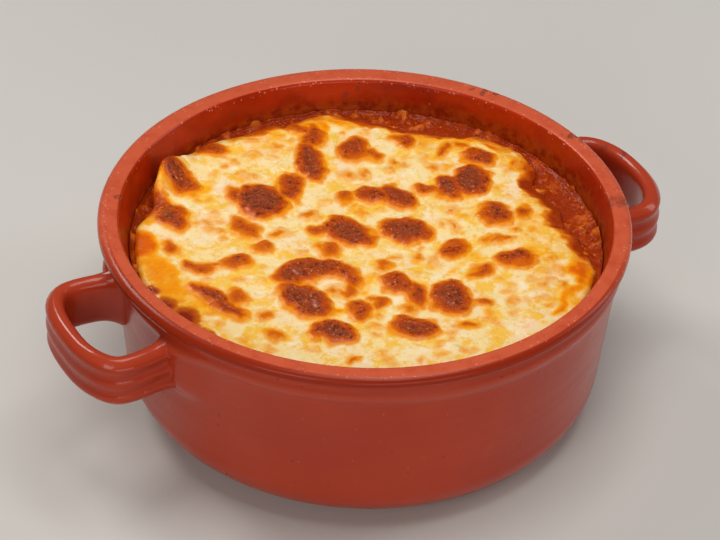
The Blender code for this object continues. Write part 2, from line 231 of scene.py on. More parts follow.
def rough(x, y, size, seed, octaves=3):
    """Noise with finer and fainter layers."""
    total, weight = 0.0, 0.0
    for n in range(octaves):
        total = total + lattice(x, y, size / 2**n, seed + 17 * n) * 0.55**n
        weight += 0.55**n
    return total / weight


def smooth(value, low, high):
    """0 at low, 1 at high, smooth between."""
    t = np.clip((value - low) / (high - low), 0, 1)
    return t * t * (3 - 2 * t)


def turn_apart(angles, direction):
    """Angle between each direction and a given one, from -pi to pi."""
    return (angles - direction + math.pi) % math.tau - math.pi


def arc(centre, radii, start, end, steps):
    """Points on part of an ellipse, between two angles in degrees."""
    angles = np.radians(np.linspace(start, end, steps))
    return [(centre[0] + radii[0] * math.cos(a), centre[1] + radii[1] * math.sin(a)) for a in angles]


def line(start, end, steps):
    """Points between two ends, without the ends."""
    return [tuple(p) for p in np.linspace(start, end, steps + 1)[1:-1]]


# Meshes


def new_object(name, points, faces, edges=()):
    mesh = bpy.data.meshes.new(name)
    mesh.from_pydata([tuple(p) for p in np.asarray(points) * MM], list(edges), faces)
    mesh.validate()
    made = bpy.data.objects.new(name, mesh)
    bpy.context.scene.collection.objects.link(made)
    return made


def band_faces(count, around):
    """Faces between neighbouring rings of points, by their places in the list."""
    starts = [(row * around, (row + 1) * around) for row in range(count - 1)]
    pairs = [(k, (k + 1) % around) for k in range(around)]
    return [(a + k, b + k, b + after, a + after) for a, b in starts for k, after in pairs]


def settled(made):
    """Turns what the modifiers make into a plain mesh."""
    graph = bpy.context.evaluated_depsgraph_get()
    mesh = bpy.data.meshes.new_from_object(made.evaluated_get(graph))
    made.modifiers.clear()
    made.data = mesh
    return made


def face_outwards(made):
    shape = bmesh.new()
    shape.from_mesh(made.data)
    bmesh.ops.recalc_face_normals(shape, faces=shape.faces)
    shape.to_mesh(made.data)
    shape.free()
    made.data.shade_smooth()


def coordinates(mesh):
    flat = np.empty(len(mesh.vertices) * 3, np.float32)
    mesh.vertices.foreach_get("co", flat)
    return flat.reshape(-1, 3).astype(float) / MM


def set_coordinates(mesh, points):
    mesh.vertices.foreach_set("co", (points * MM).astype(np.float32).ravel())
    mesh.update()


def store(mesh, name, values):
    made = mesh.attributes.new(name, "FLOAT", "POINT")
    made.data.foreach_set("value", np.asarray(values, np.float32))


def rings_body(name, rings):
    """A closed body through rings of points, each end closed by one face."""
    count, around = len(rings), len(rings[0])
    faces = band_faces(count, around)
    faces.append(tuple(range(around)))
    faces.append(tuple((count - 1) * around + k for k in range(around))[::-1])
    made = new_object(name, np.concatenate(rings), faces)
    face_outwards(made)
    return made


# Geometry nodes


class Growth:
    """A geometry node tree with named inputs, applied to an object as a plain mesh."""

    def __init__(self, name):
        self.tree = bpy.data.node_groups.new(name, "GeometryNodeTree")
        self.tree.interface.new_socket("Geometry", in_out="INPUT", socket_type="NodeSocketGeometry")
        self.tree.interface.new_socket("Geometry", in_out="OUTPUT", socket_type="NodeSocketGeometry")
        self.inputs = self.tree.nodes.new("NodeGroupInput")
        self.outputs = self.tree.nodes.new("NodeGroupOutput")
        self.values = {}

    def input(self, name, kind, value):
        made = self.tree.interface.new_socket(name, in_out="INPUT", socket_type="NodeSocket" + kind)
        self.values[made.identifier] = value
        return self.inputs.outputs[name]

    def outlets(self, kind, settings=None, links=None):
        """One node: its settings are set first, then its sockets get their values or links."""
        made = self.tree.nodes.new(kind)
        for key, value in (settings or {}).items():
            setattr(made, key, value)
        for key, value in (links or {}).items():
            if isinstance(value, bpy.types.NodeSocket):
                self.tree.links.new(value, made.inputs[key])
            else:
                made.inputs[key].default_value = value
        return made.outputs

    def node(self, kind, settings=None, links=None, output=0):
        return self.outlets(kind, settings, links)[output]

    def apply(self, made, geometry, finish):
        real = self.node("GeometryNodeRealizeInstances", links={"Geometry": geometry})
        done = self.node("GeometryNodeSetMaterial", links={"Geometry": real, "Material": finish})
        self.tree.links.new(done, self.outputs.inputs[0])
        modifier = made.modifiers.new(self.tree.name, "NODES")
        modifier.node_group = self.tree
        for identifier, value in self.values.items():
            modifier[identifier] = value
        return settled(made)


# Materials


def colour(red, green, blue):
    """Linear colour from screen values of 0 to 255."""
    parts = [v / 255 for v in (red, green, blue)]
    return tuple(p / 12.92 if p <= 0.04045 else ((p + 0.055) / 1.055) ** 2.4 for p in parts)


def set_stops(band, stops):
    """Places and colours of a ramp."""
    while len(band.elements) < len(stops):
        band.elements.new(0.5)
    for element, (place, tint) in zip(band.elements, stops):
        element.position = place
        element.color = (*tint, 1.0)


class Wire:
    """An output socket of a material, written into expressions like a number or a colour."""

    def __init__(self, net, socket):
        self.net, self.socket = net, socket

    def is_vector(self):
        return self.socket.type in ("VECTOR", "RGBA")

    def combine(self, operation, first, second):
        vector = any(isinstance(v, tuple) or (isinstance(v, Wire) and v.is_vector()) for v in (first, second))
        kind = "ShaderNodeVectorMath" if vector else "ShaderNodeMath"
        if vector:
            first, second = ((v,) * 3 if isinstance(v, (int, float)) else v for v in (first, second))
        return self.net.node(kind, {"operation": operation}, {0: first, 1: second})

    def __add__(self, other):
        return self.combine("ADD", self, other)

    def __radd__(self, other):
        return self.combine("ADD", other, self)

    def __sub__(self, other):
        return self.combine("SUBTRACT", self, other)

    def __rsub__(self, other):
        return self.combine("SUBTRACT", other, self)

    def __mul__(self, other):
        return self.combine("MULTIPLY", self, other)

    def __rmul__(self, other):
        return self.combine("MULTIPLY", other, self)

    def __truediv__(self, other):
        return self.combine("DIVIDE", self, other)

    def __rtruediv__(self, other):
        return self.combine("DIVIDE", other, self)

    def __pow__(self, other):
        return self.combine("POWER", self, other)

    def peak(self, other):
        return self.combine("MAXIMUM", self, other)

    def part(self, index):
        return self.net.node("ShaderNodeSeparateXYZ", {}, {0: self}, index)

    def step(self, low, high):
        """0 at low, 1 at high, smooth between."""
        settings = {"interpolation_type": "SMOOTHSTEP"}
        if low < high:
            return self.net.node("ShaderNodeMapRange", settings, {0: self, 1: low, 2: high, 3: 0.0, 4: 1.0})
        return self.net.node("ShaderNodeMapRange", settings, {0: self, 1: high, 2: low, 3: 1.0, 4: 0.0})

    def towards(self, other, share):
        """This colour mixed with another by a share."""
        return self.net.mix(self, other, share)


class Net:
    """A material whose nodes are written as expressions."""

    def __init__(self, name):
        self.material = bpy.data.materials.new(name)
        self.material.use_nodes = True
        self.tree = self.material.node_tree
        self.tree.nodes.clear()
        self.position = self.node("ShaderNodeTexCoord", {}, {}, "Object") * (1 / MM)

    def node(self, kind, settings, values, output=0):
        """One node: its settings or stops are set first, then its sockets get their values or links."""
        made = self.tree.nodes.new(kind)
        for key, value in settings.items():
            if key == "stops":
                set_stops(made.color_ramp, value)
            else:
                setattr(made, key, value)
        for key, value in values.items():
            self.feed(made.inputs[key], value)
        return Wire(self, made.outputs[output]) if made.outputs else None

    def feed(self, socket, value):
        if isinstance(value, Wire):
            self.tree.links.new(value.socket, socket)
        elif isinstance(value, tuple) and socket.type == "RGBA":
            socket.default_value = (*value[:3], 1.0)
        else:
            socket.default_value = value

    def mix(self, first, second, share):
        return self.node("ShaderNodeMix", {"data_type": "RGBA"}, {0: share, 6: first, 7: second}, 2)

    def attribute(self, name):
        return self.node("ShaderNodeAttribute", {"attribute_name": name}, {}, "Fac")

    def noise(self, size, detail=2.0, harsh=0.5, offset=0.0, place=None):
        """Noise from about -1 to 1 whose bumps are about one size across in mm."""
        place = self.position if place is None else place
        values = {"Vector": place + offset, "Scale": 0.5 / size, "Detail": detail, "Roughness": harsh}
        return (self.node("ShaderNodeTexNoise", {}, values, 0) - 0.5) * 3.0

    def specks(self, size, share, offset=0.0, place=None):
        """1 in the middle of scattered round specks, 0 between them; share is how many cells hold one."""
        place = (self.position if place is None else place) + offset
        cell = {"Vector": place, "Scale": 1.0 / size}
        distance = self.node("ShaderNodeTexVoronoi", {}, cell, "Distance")
        limit = 1 - share
        chosen = self.node("ShaderNodeTexVoronoi", {}, cell, "Color").part(0).step(limit, limit + 0.01)
        return distance.step(0.42, 0.2) * chosen

    def ramp(self, value, stops):
        return self.node("ShaderNodeValToRGB", {"stops": stops}, {0: value})

    def finish(self, base, roughness, height=None, **others):
        """Principled shader; height is in mm and becomes a bump."""
        values = {"Base Color": base, "Roughness": roughness}
        if height is not None:
            bump = {"Height": height * MM, "Strength": 1.0, "Distance": 1.0}
            values["Normal"] = self.node("ShaderNodeBump", {}, bump)
        for key, value in others.items():
            values[key.replace("_", " ")] = value
        shader = self.node("ShaderNodeBsdfPrincipled", {}, values)
        self.node("ShaderNodeOutputMaterial", {}, {"Surface": shader})
        return self.material


def spot(net, middle, lengths, turn=0.0, ragged=0.35, ragged_size=1.6):
    """1 inside a ragged patch around a point, 0 outside; lengths are its half sizes in mm."""
    from_middle = net.position - tuple(float(v) for v in middle)
    x, y, z = from_middle.part(0), from_middle.part(1), from_middle.part(2)
    cosine, sine = math.cos(math.radians(turn)), math.sin(math.radians(turn))
    along = (x * cosine + y * sine) / lengths[0]
    across = (y * cosine - x * sine) / lengths[1]
    up = z / lengths[2]
    away = (along * along + across * across + up * up) ** 0.5
    return (away + net.noise(ragged_size) * ragged).step(1.15, 0.75)


def burnt_marks(net):
    """Strength of the burnt marks and smears on rim and handles, uneven in itself."""
    dirt = None
    for place, sizes, turn, dark in RIM_MARKS:
        mark = spot(net, place, sizes, turn, 0.6, 1.0) * dark
        dirt = mark if dirt is None else dirt.peak(mark)
    return dirt * (0.35 + net.noise(0.8, 2, 0.6, 33.0).step(-0.6, 0.5) * 0.65)


def inner_wall(x, y, z, radius):
    """1 on the inner wall of the dish, 0 elsewhere, with the rim's oval taken back out."""
    along = (x * math.cos(INNER_DIRECTION) + y * math.sin(INNER_DIRECTION)) / radius
    unmoved = radius - (along * INNER_SHIFT + along * along * INNER_STRETCH) * z.step(54.0, 65.5)
    return (unmoved - z * INNER_SLOPE).step(INNER_CONE, INNER_CONE - 0.4) * z.step(40.0, 45.0)


def glaze_material():
    net = Net("glazed_clay")
    x, y, z = (net.position.part(i) for i in range(3))
    radius = (x * x + y * y) ** 0.5
    body = net.mix(colour(172, 54, 24), colour(160, 46, 20), net.noise(26, 3).step(-0.6, 0.7))
    body = body.towards(colour(186, 78, 48), (net.noise(5.0, 3, 0.6, 40.0) - 0.1).step(0.15, 1.2) * 0.25)
    front = (x * SHADED_SIDE[0] + y * SHADED_SIDE[1]).step(10, 55)
    # Painted light: the rim's top gets a lighter salmon colour for the light falling on it from above,
    # mottled at random. On the sides away from the front its outer rounding gets this colour too.
    rim = z.step(63.2, 64.6) * radius.step(82.9, 81.9).peak(1.0 - front)
    worn = net.noise(2.6, 4, 0.65, 71.0).step(-0.3, 0.9)
    lit_rim_tint = net.mix(colour(206, 92, 60), colour(190, 74, 44), worn)
    body = body.towards(lit_rim_tint, rim * 0.9)
    # Painted shade: on the front side the lip's outer edge is darkened where it turns away from the light,
    # and its coat is lowered there too.
    lip = z.step(62.4, 63.6) * radius.step(81.9, 82.6) * front
    body = body.towards(colour(140, 36, 8), lip * 0.9)
    # Painted highlight: a lighter band along the ridge, where its upper side catches the light.
    ridge_highlight = (z - RIDGE_Z).step(-1.8, -0.4) * (z - RIDGE_Z).step(1.8, 0.4) * radius.step(80.0, 81.4)
    body = body.towards(colour(178, 66, 40), ridge_highlight * 0.6)
    inside = inner_wall(x, y, z, radius)
    deep = net.mix(colour(176, 46, 4), colour(150, 30, 2), net.noise(9, 3, 0.6, 7.0).step(-0.5, 0.6))
    body = body.towards(deep, inside * z.step(65.7, 65.3))
    baked = (net.noise(6.0, 4, 0.65, 3.0) + (63.0 - z) * 0.16).step(0.1, 1.0) * inside
    body = body.towards(colour(126, 28, 2), baked * 0.5)
    stuck = net.noise(3.4, 4, 0.65, 66.0) * 0.7 + (60.2 - z) * 0.3 + (x - 20.0) * 0.006
    smear = stuck.step(0.0, 1.3) * inside
    splash = net.mix(colour(160, 62, 10), colour(120, 28, 4), net.noise(1.8, 3, 0.6, 36.0).step(-0.3, 0.5))
    body = body.towards(splash, smear * 0.8)
    dirt = burnt_marks(net)
    body = body.towards(colour(92, 46, 38), dirt)
    glints = net.specks(0.9, 0.22, 57.0) * rim * radius.step(79.6, 78.4).peak(radius.step(80.6, 81.6))
    body = body.towards(colour(232, 150, 126), glints * 0.6)
    pits = net.specks(1.3, 0.012, 11.0)
    body = body.towards(colour(60, 20, 12), pits * 0.6)
    pale = net.specks(1.1, 0.008, 23.0)
    body = body.towards(colour(196, 120, 100), pale * 0.5)
    height = net.noise(1.1, 2, 0.5, 5.0) * 0.012 + net.noise(4.5, 2, 0.5, 9.0) * 0.03 - pits * 0.05
    height = height + net.noise(0.35, 1, 0.5, 2.0) * 0.0035 + net.noise(1.0, 3, 0.6, 18.0) * smear * 0.12
    rough_clay = 0.30 + net.noise(7.0, 3, 0.6, 15.0) * 0.05 + dirt * 0.25
    gloss = 0.36 - inside * 0.22 - lip * 0.30
    return net.finish(
        body, rough_clay, height,
        Coat_Weight=gloss, Coat_Roughness=0.10, Coat_IOR=1.5, Specular_IOR_Level=0.15,
    )


def cheese_material():
    net = Net("melted_cheese")
    brown, gold, oil, thin = (net.attribute(name) for name in ("brown", "gold", "oil", "thin"))
    flat = net.position * (1.0, 1.0, 0.4)
    grain = net.noise(0.45, 2, 0.6, 3.0, flat)
    fine = net.noise(0.75, 2, 0.6, 5.0, flat)
    mid = net.noise(1.6, 3, 0.6, 31.0, flat)
    broad = net.noise(8.0, 3, 0.55, 12.0, flat)
    cream = net.mix(colour(246, 218, 154), colour(246, 214, 176), broad.step(-0.2, 0.7))
    cream = cream.towards(colour(251, 236, 204), net.noise(3.0, 3, 0.6, 25.0, flat).step(-0.1, 0.6) * 0.7)
    cream = cream.towards(colour(246, 188, 36), net.noise(3.6, 4, 0.75, 55.0, flat).step(-0.08, 0.34) * 0.85)
    cream = cream.towards(colour(236, 156, 34), mid.step(0.2, 0.85) * 0.6)
    cream = cream.towards(colour(206, 192, 96), net.noise(2.2, 2, 0.6, 90.0, flat).step(0.45, 0.85) * 0.5)
    cream = cream.towards(colour(222, 162, 84), fine.step(0.3, 1.0) * 0.45)
    orange = net.ramp(
        oil + mid * 0.20 + fine * 0.08,
        (
            (0.1, colour(252, 206, 80)), (0.45, colour(250, 176, 22)),
            (0.8, colour(242, 136, 4)), (1.0, colour(222, 98, 2)),
        ),
    )
    cream = cream.towards(orange, (oil + mid * 0.22 + broad * 0.16 + fine * 0.06).step(0.10, 0.62))
    halo = (gold + mid * 0.14 + fine * 0.08).step(0.05, 0.85)
    cream = cream.towards(net.mix(colour(250, 194, 48), colour(238, 138, 2), halo), halo * 0.97)
    burn = brown + mid * 0.07 + fine * 0.06 + grain * 0.03
    crust = net.ramp(
        burn,
        (
            (0.02, colour(244, 166, 26)), (0.14, colour(230, 132, 4)), (0.26, colour(212, 102, 2)),
            (0.42, colour(198, 86, 4)), (0.60, colour(184, 70, 6)), (0.78, colour(170, 64, 12)),
            (0.90, colour(156, 62, 22)), (1.0, colour(140, 58, 28)),
        ),
    )
    blot = burn.step(0.25, 0.55)
    # Painted glints: pale specks on the raised grain of the browned crust.
    crust = crust.towards(colour(230, 136, 66), grain.step(0.2, 0.7) * blot * 0.75)
    crust = crust.towards(colour(84, 22, 8), fine.step(0.05, 0.6) * blot * 0.75)
    top = cream.towards(crust, (brown * 2.4 + mid * 0.14 + fine * 0.08 + grain * 0.05).step(0.12, 0.46))
    burnt = net.attribute("burnt") + mid * 0.12 + fine * 0.08
    charred = ((0.1, colour(238, 158, 16)), (0.4, colour(196, 92, 4)), (0.8, colour(138, 34, 2)))
    top = top.towards(net.ramp(burnt, charred), burnt.step(0.06, 0.34))
    melt = thin + mid * 0.22 + fine * 0.08
    sheer = net.ramp(
        melt,
        (
            (0.15, colour(250, 196, 78)), (0.35, colour(238, 144, 30)),
            (0.6, colour(204, 88, 12)), (0.9, colour(158, 54, 8)),
        ),
    )
    top = top.towards(sheer, melt.step(0.08, 0.36) * (1.0 - brown.step(0.1, 0.4) * 0.9))
    height = mid * (0.10 + brown * 0.10) + fine * (0.05 + brown * 0.20)
    height = height + net.noise(4.0, 2, 0.5, 77.0, flat) * 0.18 + grain * (0.014 + brown * 0.09)
    roughness = 0.40 + mid * 0.06 - oil * 0.08 - brown * 0.10
    return net.finish(
        top, roughness, height, Coat_Weight=0.10 + blot * 0.16, Coat_Roughness=0.12, Specular_IOR_Level=0.12,
        Subsurface_Weight=0.08, Subsurface_Radius=(1.0, 0.55, 0.25), Subsurface_Scale=0.0012,
    )


def sauce_material():
    net = Net("tomato_meat_sauce")
    lump, wet = net.attribute("lump"), net.attribute("wet")
    mid = net.noise(1.8, 3, 0.65, 4.0)
    fine = net.noise(0.7, 2, 0.6, 8.0)
    base = net.ramp(
        lump * 0.8 + mid * 0.25,
        (
            (0.0, colour(154, 46, 1)), (0.35, colour(180, 66, 2)),
            (0.65, colour(202, 90, 8)), (1.0, colour(216, 128, 36)),
        ),
    )
    base = base.towards(colour(218, 100, 10), net.noise(3.2, 3, 0.6, 60.0).step(0.1, 0.8) * 0.55)
    # Painted highlights on the peaks of the fine bumps, and painted shade in their hollows.
    base = base.towards(colour(214, 142, 80), fine.step(0.5, 1.2) * 0.5)
    base = base.towards(colour(96, 20, 2), (0.0 - fine).step(0.25, 1.0) * 0.45)
    base = base.towards(colour(132, 34, 2), wet * 0.5)
    height = mid * 0.24 + fine * 0.2
    return net.finish(
        base, 0.36 + mid * 0.05 - wet * 0.1, height,
        Coat_Weight=0.12, Coat_Roughness=0.09, Specular_IOR_Level=0.10,
        Subsurface_Weight=0.05, Subsurface_Radius=(1.0, 0.3, 0.1), Subsurface_Scale=0.001,
    )


def crumb_material(name, dark, light):
    net = Net(name)
    tone = net.noise(0.9, 3, 0.6, 1.0)
    base = net.mix(dark, light, tone.step(-0.7, 0.8))
    height = net.noise(0.4, 2, 0.6, 2.0) * 0.05
    return net.finish(
        base, 0.34 + tone * 0.05, height, Coat_Weight=0.25, Coat_Roughness=0.1, Specular_IOR_Level=0.15
    )


# Dish


def outer_profile():
    top = DISH_HEIGHT
    wide, high = RIM_OUTER_ROUND
    points = arc((RIM_OUTER - wide, top - high), (wide, high), 90, 0, 14)
    under = (COLLAR_RADIUS, top - LIP_HEIGHT + LIP_UNDER_ROUND)
    points += arc(under, (RIM_OUTER - COLLAR_RADIUS, LIP_UNDER_ROUND), 0, -86, 9)
    points.append((COLLAR_RADIUS, top - LIP_HEIGHT - 0.4))
    for share in np.linspace(1, -1, 15):
        z = RIDGE_Z + share * RIDGE_HALF_HEIGHT * 1.4
        collar = COLLAR_RADIUS - (COLLAR_RADIUS - WALL_TOP_RADIUS) * float(smooth(z, RIDGE_Z, WALL_TOP_Z))
        points.append((collar + RIDGE_RISE * math.cos(math.pi / 2 * share) ** 2, z))
    knee_width = WALL_FOOT_RADIUS - BASE_RADIUS
    points += line(points[-1], (WALL_TOP_RADIUS, WALL_TOP_Z), 4) + [(WALL_TOP_RADIUS, WALL_TOP_Z)]
    points += line(points[-1], (WALL_FOOT_RADIUS, KNEE_HEIGHT), 40)
    points += arc((BASE_RADIUS, KNEE_HEIGHT), (knee_width, KNEE_HEIGHT), 0, -90, 26)
    return points + [(38.0, 0.0), (18.0, 0.0), (0.0, 0.0)]


def inner_profile():
    rim_width = RIM_INNER - INNER_TOP_RADIUS
    bend = (INNER_FOOT_RADIUS - INNER_KNEE, FLOOR_THICKNESS + INNER_KNEE)
    knee = arc(bend, (INNER_KNEE, INNER_KNEE), -90, 0, 5)
    rim = arc((INNER_TOP_RADIUS + rim_width, DISH_HEIGHT - RIM_ROUND), (rim_width, RIM_ROUND), 180, 90, 10)
    points = [(0.0, FLOOR_THICKNESS), (30.0, FLOOR_THICKNESS)] + knee
    points.append((inner_radius(44.0), 44.0))
    points += line(points[-1], rim[0], 26)
    return points + rim + line(rim[-1], (RIM_OUTER - RIM_OUTER_ROUND[0], DISH_HEIGHT), 5)


def inner_radius(z):
    low = FLOOR_THICKNESS + INNER_KNEE
    share = (z - low) / (DISH_HEIGHT - RIM_ROUND - low)
    return INNER_FOOT_RADIUS + (INNER_TOP_RADIUS - INNER_FOOT_RADIUS) * share


def turned_body(profile, finish):
    """The profile swept round the axis by geometry nodes."""
    points = [(r - SWEEP_RADIUS, -z, 0.0) for r, z in profile]
    made = new_object("dish_glazed", points, [], [(i, i + 1) for i in range(len(points) - 1)])
    grow = Growth("turned_dish")
    around = grow.input("Divisions", "Int", DISH_AROUND)
    weld = grow.input("Weld", "Float", 0.02 * MM)
    section = grow.node("GeometryNodeMeshToCurve", links={"Mesh": grow.inputs.outputs["Geometry"]})
    circle = {"Resolution": around, "Radius": SWEEP_RADIUS * MM}
    path = grow.node("GeometryNodeCurvePrimitiveCircle", links=circle)
    swept = grow.node("GeometryNodeCurveToMesh", links={"Curve": path, "Profile Curve": section})
    welded = grow.node("GeometryNodeMergeByDistance", links={"Geometry": swept, "Distance": weld})
    return grow.apply(made, welded, finish)


def strap_middle_line(reach, half_width, bend_depth, squareness):
    """Points (across, outwards) of the strap's middle line, from one root to the other."""
    bend = reach - bend_depth
    legs = np.linspace(STRAP_ROOT, bend, STRAP_STATIONS // 4)[:-1]
    narrowing = 1 - np.sin((legs - STRAP_ROOT) / (bend - STRAP_ROOT) * math.pi / 2)
    half = half_width - STRAP_NARROWING * narrowing
    turn = np.linspace(0.0, math.pi, STRAP_STATIONS // 2)
    power = 2.0 / squareness
    across = half_width * np.sign(np.cos(turn)) * np.abs(np.cos(turn)) ** power
    outwards = bend + bend_depth * np.abs(np.sin(turn)) ** power
    first, last = list(zip(half, legs)), list(zip(-half[::-1], legs[::-1]))
    points = np.array(first + list(zip(across, outwards)) + last)
    for _ in range(6):
        points[1:-1] = (points[:-2] + 2 * points[1:-1] + points[2:]) / 4
    return points


def strap_section():
    """Points (outwards, up) of the strap's section, each share -1 to 1 of its half height."""
    turn = np.linspace(-math.pi / 2, math.pi / 2, STRAP_SECTION_POINTS)
    up = np.sin(turn)
    ribs = 0.5 * (1 + np.cos(math.pi * STRAP_RIBS * up))
    round_edge = np.sqrt(np.clip(1 - np.abs(up) ** SECTION_SQUARENESS, 0, 1))
    outer = (STRAP_HALF_THICKNESS - STRAP_GROOVE * (1 - ribs)) * round_edge
    inner_up = np.sin(turn[::-2])[1:-1]
    inner = -STRAP_HALF_THICKNESS * np.sqrt(1 - np.abs(inner_up) ** SECTION_SQUARENESS)
    return list(zip(outer, up)) + list(zip(inner, inner_up))


def strap_handle(name, direction, sizes):
    path = strap_middle_line(*sizes)
    forward = np.gradient(path, axis=0)
    forward /= np.linalg.norm(forward, axis=1)[:, None]
    normal = np.stack([forward[:, 1], -forward[:, 0]], axis=1)
    cosine, sine = math.cos(direction), math.sin(direction)
    section = strap_section()
    rings = []
    for n, ((across, outwards), side) in enumerate(zip(path, normal)):
        near = 1 - (math.hypot(across, outwards) - WALL_TOP_RADIUS) / FLARE_LENGTH
        flare = min(max(near, 0.0), 1.0) ** 2.5
        wobble = 0.25 * lattice(n / 14.0, direction, 1.0, 31)
        ring = []
        for thick, up in section:
            offset = thick * (1 + FLARE_THICKNESS * flare)
            t, u = across + side[0] * offset, outwards + side[1] * offset
            z = STRAP_MIDDLE + wobble + up * STRAP_HALF_HEIGHT * (1 + FLARE_HEIGHT * flare)
            ring.append((u * cosine - t * sine, u * sine + t * cosine, z))
        rings.append(np.array(ring))
    return rings_body(name, rings)


def surface_unevenness(angles, radius, z):
    """Throwing lines below the collar and a slow hand-made unevenness, on the outside alone."""
    outside = smooth(radius, 76.2 + z * 0.03, 78.2 + z * 0.03) * smooth(z, 3, 12)
    lines = THROWING_LINES * lattice(z, angles * 0.8, 1.9, 3) * smooth(z, 56, 50)
    slow = UNEVENNESS * 0.5 * lattice(np.cos(angles) * 2.2, np.sin(angles) * 2.2 + z / 30, 1.0, 8)
    return outside * (lines + slow)


def rim_unevenness(angles, radius, z):
    """The rim's outer edge skewed to one side, and its inner edge a little oval."""
    along = np.cos(angles - INNER_DIRECTION)
    skew = RIM_SKEW * np.cos(angles - RIM_SKEW_DIRECTION) * smooth(z, 60.5, 62.5) * smooth(radius, 79.5, 82)
    oval = (INNER_SHIFT * along + INNER_STRETCH * along**2) * smooth(z, 54, 65.5) * smooth(radius, 81.5, 79)
    return skew + oval


def strap_pads(angles, radius, z):
    """Clay smeared from the strap ends along the wall."""
    rise = np.zeros(len(angles))
    for _, direction, _, half_width, _, _ in HANDLES:
        away = np.abs(turn_apart(angles, direction)) * WALL_TOP_RADIUS
        past = (away - half_width) / np.where(away > half_width, PAD_LENGTH, PAD_LENGTH / 2)
        level = (z - STRAP_MIDDLE) / PAD_HALF_HEIGHT
        rise += PAD_RISE * np.exp(-(past**2) - level**4) * smooth(radius, 77.0, 79.0)
    return rise


def shape_clay(points):
    """The turned body with its unevenness and the smeared strap ends."""
    angles = np.arctan2(points[:, 1], points[:, 0])
    radius = np.hypot(points[:, 0], points[:, 1])
    z = points[:, 2]
    place = (angles, radius, z)
    move = surface_unevenness(*place) + rim_unevenness(*place) + strap_pads(*place)
    moved = points.copy()
    moved[:, :2] *= ((radius + move) / np.maximum(radius, 1e-6))[:, None]
    waver = UNEVENNESS * 0.5 * lattice(np.cos(angles) * 1.9 + 5, np.sin(angles) * 1.9, 1.0, 21)
    moved[:, 2] += smooth(z, 60, 64) * (waver - 0.1)
    return moved


def make_dish():
    finish = glaze_material()
    made = turned_body(inner_profile() + outer_profile()[1:], finish)
    points = coordinates(made.data)
    set_coordinates(made.data, shape_clay(points))
    face_outwards(made)
    for side, direction, *sizes in HANDLES:
        strap = strap_handle(f"{side}_strap", direction, sizes)
        strap.data.materials.append(finish)
        join = made.modifiers.new(side, "BOOLEAN")
        join.operation, join.solver, join.object = "UNION", "EXACT", strap
        settled(made)
        bpy.data.objects.remove(strap, do_unlink=True)
    mesh = made.data
    mesh.materials.clear()
    mesh.materials.append(finish)
    mesh.polygons.foreach_set("material_index", np.zeros(len(mesh.polygons), np.int32))
    mesh.shade_smooth()
    mesh.set_sharp_from_angle(angle=math.radians(70))
    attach(made, "root")
    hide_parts("dish")


# Food


def cheese_edge(angles):
    at = np.array([degrees for degrees, _ in CHEESE_EDGE], float)
    reach = np.array([radius for _, radius in CHEESE_EDGE])
    return np.interp(np.degrees(angles) % 360, at, reach, period=360)


def free_edge(angles):
    """1 where the edge of the cheese lies free on the sauce, 0 where it meets the wall."""
    return smooth(WALL_REACH - cheese_edge(angles), 0.8, 5.0)


def frayed_edge(angles):
    """The outline of the cheese with its small tongues and notches; it stays short of the wall."""
    x, y = np.cos(angles) * 70, np.sin(angles) * 70
    return cheese_edge(angles) + rough(x, y, 7.0, 91) * (0.25 + 1.6 * free_edge(angles)) - 0.2


def bed_height(radius):
    return FILL_LEVEL - FILL_DIP * (1 - (radius / INNER_TOP_RADIUS) ** FILL_DIP_POWER)


def in_patch(x, y, patch):
    """Place in an ellipse's own axes, as shares of its half length and half width."""
    middle_x, middle_y, length, width, turn = patch[:5]
    cosine, sine = math.cos(math.radians(turn)), math.sin(math.radians(turn))
    dx, dy = x - middle_x, y - middle_y
    return (dx * cosine + dy * sine) / (length / 2), (dy * cosine - dx * sine) / (width / 2)


def patch_depth(x, y, patch):
    """Distance inwards from an ellipse's outline, negative outside it."""
    along, across = in_patch(x, y, patch)
    share = np.hypot(along, across) + 1e-6
    steep = np.hypot(along / (patch[2] / 2), across / (patch[3] / 2)) / share
    return (1 - share) / steep


def warped(x, y):
    """Places moved a little, so that outlines come out ragged."""
    dx = 1.2 * lattice(x, y, 4.6, 61) + 0.6 * lattice(x, y, 2.4, 65) + 0.3 * lattice(x, y, 1.3, 62)
    dy = 1.2 * lattice(x, y, 4.6, 63) + 0.6 * lattice(x, y, 2.4, 66) + 0.3 * lattice(x, y, 1.3, 64)
    return x + dx, y + dy


def fold_rise(x, y):
    path = np.array(FOLD_LINE)
    best, share = np.full(np.shape(x), 1000.0), np.zeros(np.shape(x))
    for i in range(len(path) - 1):
        start, step = path[i], path[i + 1] - path[i]
        along = np.clip(((x - start[0]) * step[0] + (y - start[1]) * step[1]) / (step @ step), 0, 1)
        away = np.hypot(x - start[0] - along * step[0], y - start[1] - along * step[1])
        nearer = away < best
        best = np.where(nearer, away, best)
        share = np.where(nearer, (i + along) / (len(path) - 1), share)
    ends = np.sin(math.pi * (FOLD_ENDS[0] + (FOLD_ENDS[1] - FOLD_ENDS[0]) * share))
    return ends * np.exp(-((best / FOLD_HALF_WIDTH) ** 2))


def golden_spots():
    """Small pale gold spots between the blisters, drawn from a seed."""
    draw = np.random.default_rng(SPOT_SEED)
    spots = []
    while len(spots) < SPOT_COUNT:
        x, y = draw.uniform(-68, 68, 2)
        length, share, turn = draw.uniform(1.6, 4.2), draw.uniform(0.5, 0.95), draw.uniform(0, 180)
        dark = draw.uniform(0.08, 0.34)
        if math.hypot(x, y) < SPOT_REACH and all(patch_depth(x, y, b) < -length for b in BLISTERS):
            spots.append((x, y, length, length * share, turn, dark))
    return tuple(spots)


